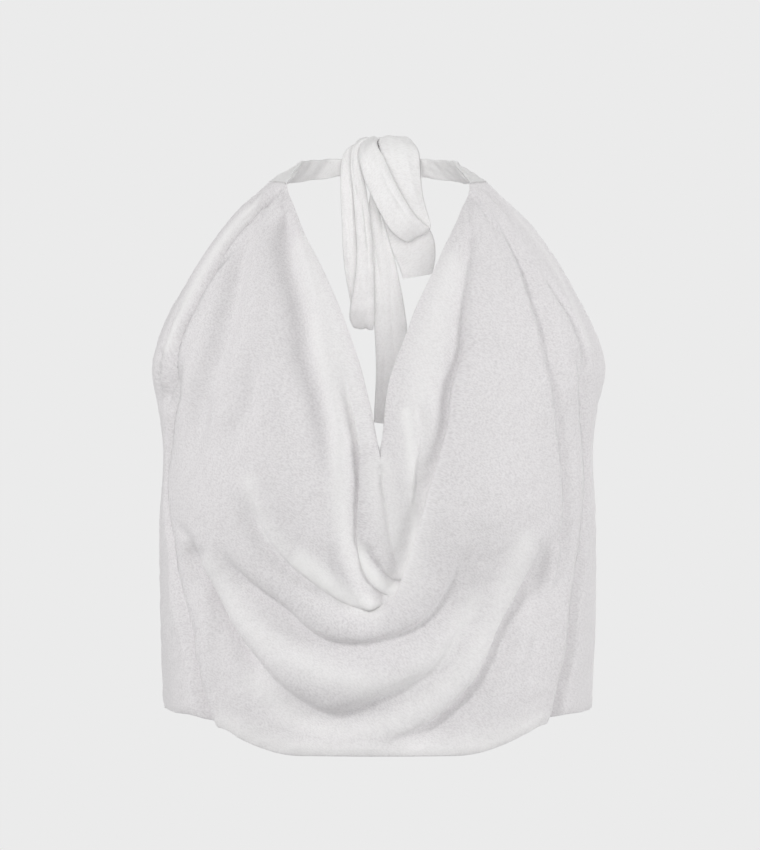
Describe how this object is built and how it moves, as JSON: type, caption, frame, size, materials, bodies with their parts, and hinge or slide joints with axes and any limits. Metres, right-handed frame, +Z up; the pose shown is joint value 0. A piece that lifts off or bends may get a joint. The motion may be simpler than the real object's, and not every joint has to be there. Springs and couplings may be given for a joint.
{
  "type": "sleeveless cowl-neck halter top",
  "caption": "White sleeveless halter top in its worn, hollow shape, with a deep draped cowl, a low open back and narrow neck ties in a bow at the nape.",
  "frame": {"origin": "at the nape, where the neck band lies on the wearer's neck", "axes": "+Z up, the front faces -Y, +X is on the right of someone who looks at the front"},
  "size_m": [0.3718, 0.2497, 0.5093],
  "materials": {
    "body_cloth": "brushed knit",
    "tie_cloth": "brushed knit"
  },
  "bodies": {
    "root": {"front": "body_cloth", "back": "body_cloth", "neck_band_left": "tie_cloth", "neck_band_right": "tie_cloth", "knot": "tie_cloth", "loop_left": "tie_cloth", "loop_right": "tie_cloth", "tail_long": "tie_cloth", "tail_short": "tie_cloth"}
  },
  "joints": []
}
